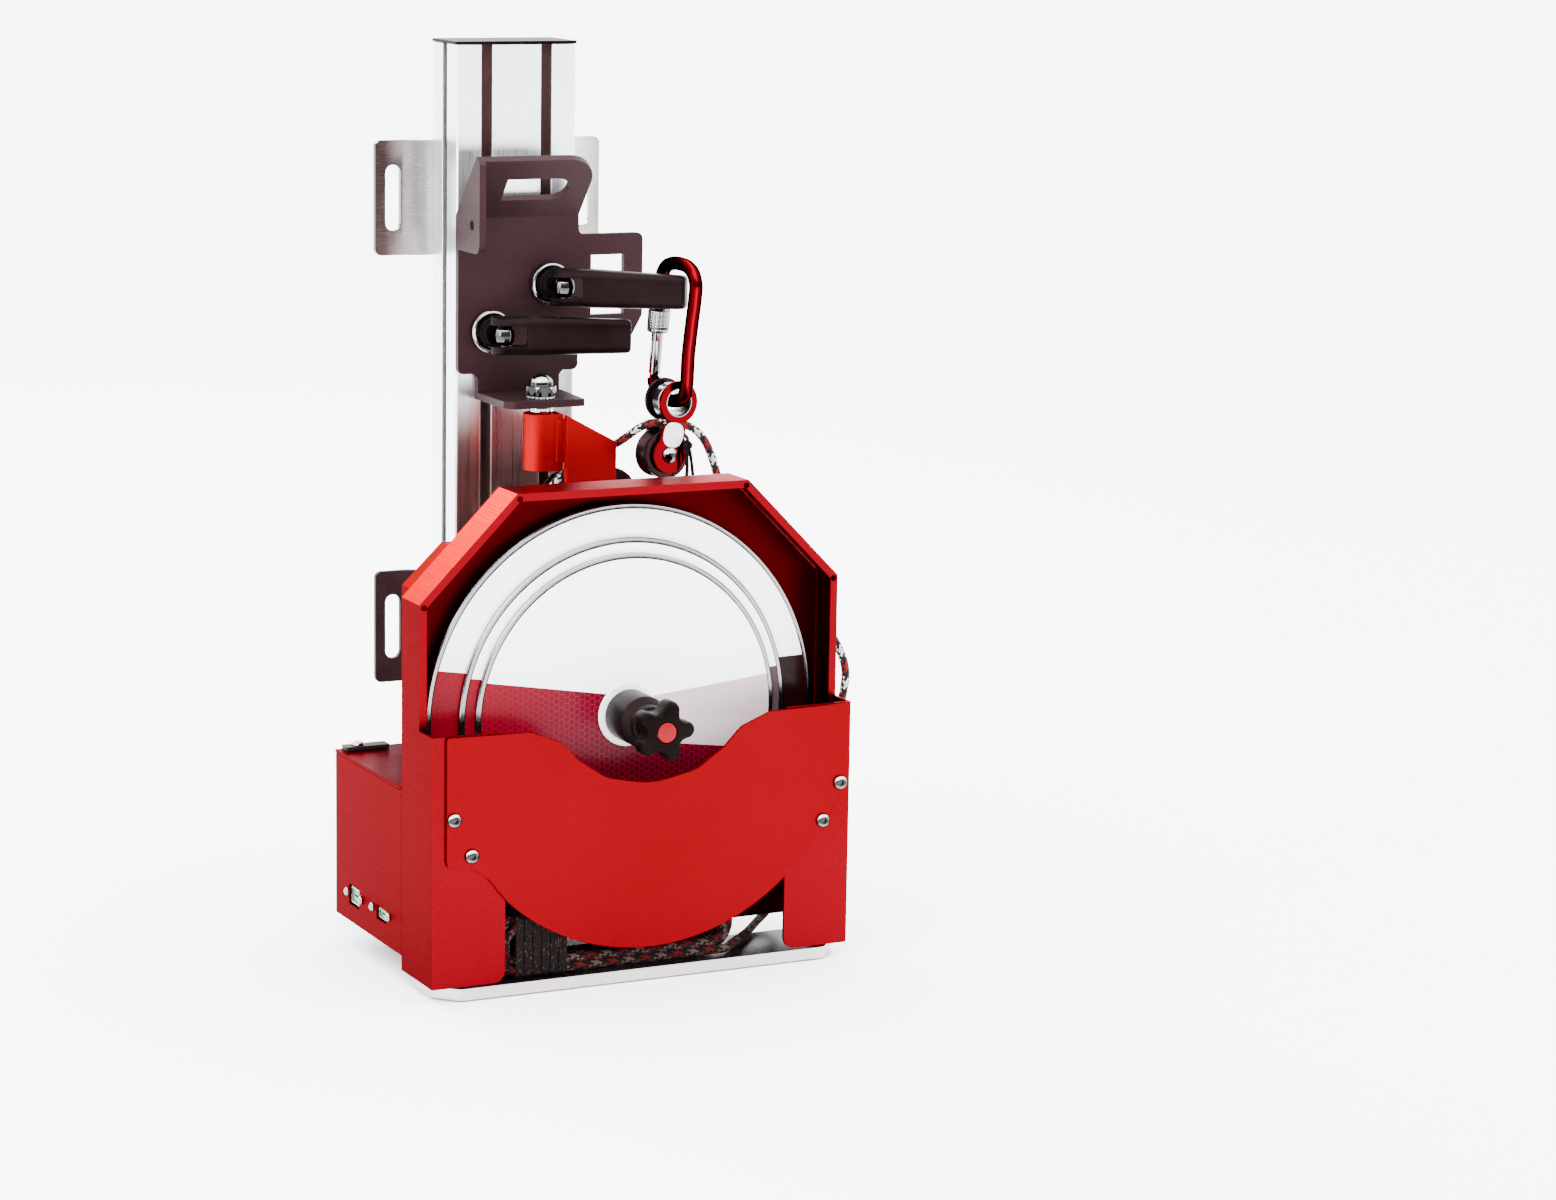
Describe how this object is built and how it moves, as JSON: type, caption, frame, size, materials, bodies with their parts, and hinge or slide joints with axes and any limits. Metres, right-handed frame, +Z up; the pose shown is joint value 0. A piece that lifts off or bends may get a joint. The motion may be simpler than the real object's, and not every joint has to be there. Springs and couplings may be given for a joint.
{
  "type": "flywheel rope pulley trainer",
  "caption": "Wall-held T-slot rail with a clamped sliding carriage, hooked rope pulley and a swivelling guarded flywheel housing with spare rope coiled at its base.",
  "frame": {"origin": "on the wall plane, on the back of the upper wall bracket's left wing at mid height, just outside its slot; the rail's middle is 82.2 mm to the right", "axes": "+X to the object's right as seen by the user, +Y into the wall, +Z up along the rail"},
  "size_m": [0.3401, 0.3143, 0.6164],
  "materials": {
    "red_anodised": "satin",
    "powder_dark": "matt textured",
    "black_metal": "satin",
    "chrome": "polished",
    "rail_alu": "silver anodised",
    "stainless": "brushed",
    "black_plastic": "satin",
    "red_plastic": "gloss",
    "disc_print": "gloss print",
    "brass": "plain",
    "rope": "braided",
    "board": "satin"
  },
  "bodies": {
    "rail": {"rail_profile": "rail_alu", "rail_top_cap": "black_plastic", "upper_wall_bracket": "stainless", "lower_wall_bracket": "black_metal", "upper_bracket_bolt_left": "stainless", "upper_bracket_bolt_right": "stainless", "lower_bracket_bolt_left": "stainless", "lower_bracket_bolt_right": "stainless"},
    "carriage": {"carriage_plate": "powder_dark", "upper_clamp_stud": "chrome", "upper_clamp_cup": "chrome", "upper_thrust_pad": "black_plastic", "lower_clamp_stud": "chrome", "lower_clamp_cup": "chrome", "lower_thrust_pad": "black_plastic", "pivot_stud": "chrome", "acorn_nut": "chrome", "tooth_washer": "stainless"},
    "upper_lever_body": {"upper_lever": "black_metal", "upper_lever_pin": "stainless"},
    "lower_lever_body": {"lower_lever": "black_metal", "lower_lever_pin": "stainless"},
    "carabiner": {"carabiner_frame": "red_anodised"},
    "gate": {"carabiner_gate": "stainless"},
    "sleeve": {"carabiner_sleeve": "stainless"},
    "pulley": {"pulley_front_cheek": "red_anodised", "pulley_back_cheek": "black_metal", "pulley_eye_bush": "stainless", "pulley_axle": "chrome", "pulley_cord": "rope"},
    "sheave": {"pulley_sheave": "black_metal"},
    "housing": {"swivel_arm": "red_anodised", "swivel_bush": "brass", "guide_plate": "black_metal", "guard_shell": "red_anodised", "guard_back_plate": "red_anodised", "rear_shell": "red_anodised", "front_cover": "red_anodised", "cover_screw_1": "chrome", "cover_screw_2": "chrome", "cover_screw_3": "chrome", "cover_screw_4": "chrome", "base_plate": "rail_alu", "rear_box": "red_anodised", "rear_box_lid": "red_anodised", "port_board": "board", "main_bearing": "stainless", "rope_loop": "rope", "rope_side": "rope", "rope_hank": "rope"},
    "guide": {"guide_wheel": "black_plastic"},
    "flywheel": {"flywheel_shaft": "stainless", "large_disc": "disc_print", "medium_disc": "disc_print", "small_disc": "disc_print", "hub_ring": "disc_print", "hub": "black_plastic", "rope_spool": "stainless"},
    "knob": {"star_knob": "black_plastic", "knob_cap": "red_plastic"}
  },
  "joints": [
    {"name": "carriage_slide", "type": "slide", "parent": "rail", "child": "carriage", "axis": [0, 0, 1], "range_m": [-0.11, 0.03]},
    {"name": "upper_lever_turn", "type": "hinge", "parent": "carriage", "child": "upper_lever_body", "pos_m": [0.1047, -0.0883, -0.0573], "axis": [0, 0, 1], "range_deg": [-15, 15], "deforming": ["rope_loop"]},
    {"name": "lower_lever_turn", "type": "hinge", "parent": "carriage", "child": "lower_lever_body", "pos_m": [0.0597, -0.0883, -0.0895], "axis": [0, 0, 1], "range_deg": [-60, 0]},
    {"name": "carabiner_swing", "type": "hinge", "parent": "upper_lever_body", "child": "carabiner", "pos_m": [0.1683, -0.1417, -0.043], "axis": [0.9781, 0.208, 0], "range_deg": [-2, 2]},
    {"name": "gate_hinge", "type": "hinge", "parent": "carabiner", "child": "gate", "pos_m": [0.16246, -0.11422, -0.1184], "axis": [0.9781, 0.208, 0], "range_deg": [0, 2], "stiffness_Nm_per_rad": 0.05, "springref_deg": -17.19},
    {"name": "sleeve_slide", "type": "slide", "parent": "gate", "child": "sleeve", "axis": [0.0238, -0.1117, 0.9935], "range_m": [-0.02, 0]},
    {"name": "pulley_swing", "type": "hinge", "parent": "carabiner", "child": "pulley", "pos_m": [0.1666, -0.1339, -0.1269], "axis": [-0.1045, 0.9945, 0], "range_deg": [-3, 3]},
    {"name": "sheave_spin", "type": "hinge", "parent": "pulley", "child": "sheave", "pos_m": [0.15948, -0.13465, -0.1707], "axis": [-0.1045, 0.9945, 0], "continuous": true},
    {"name": "housing_swivel", "type": "hinge", "parent": "carriage", "child": "housing", "pos_m": [0.0822, -0.1003, -0.1625], "axis": [0, 0, 1], "range_deg": [-20, 20]},
    {"name": "guide_wheel_spin", "type": "hinge", "parent": "housing", "child": "guide", "pos_m": [0.1077, -0.108, -0.2075], "axis": [0, 1, 0], "continuous": true},
    {"name": "flywheel_spin", "type": "hinge", "parent": "housing", "child": "flywheel", "pos_m": [0.0822, -0.2413, -0.328], "axis": [0, 1, 0], "continuous": true},
    {"name": "knob_turn", "type": "hinge", "parent": "flywheel", "child": "knob", "pos_m": [0.0822, -0.3043, -0.328], "axis": [0, 1, 0], "continuous": true}
  ]
}
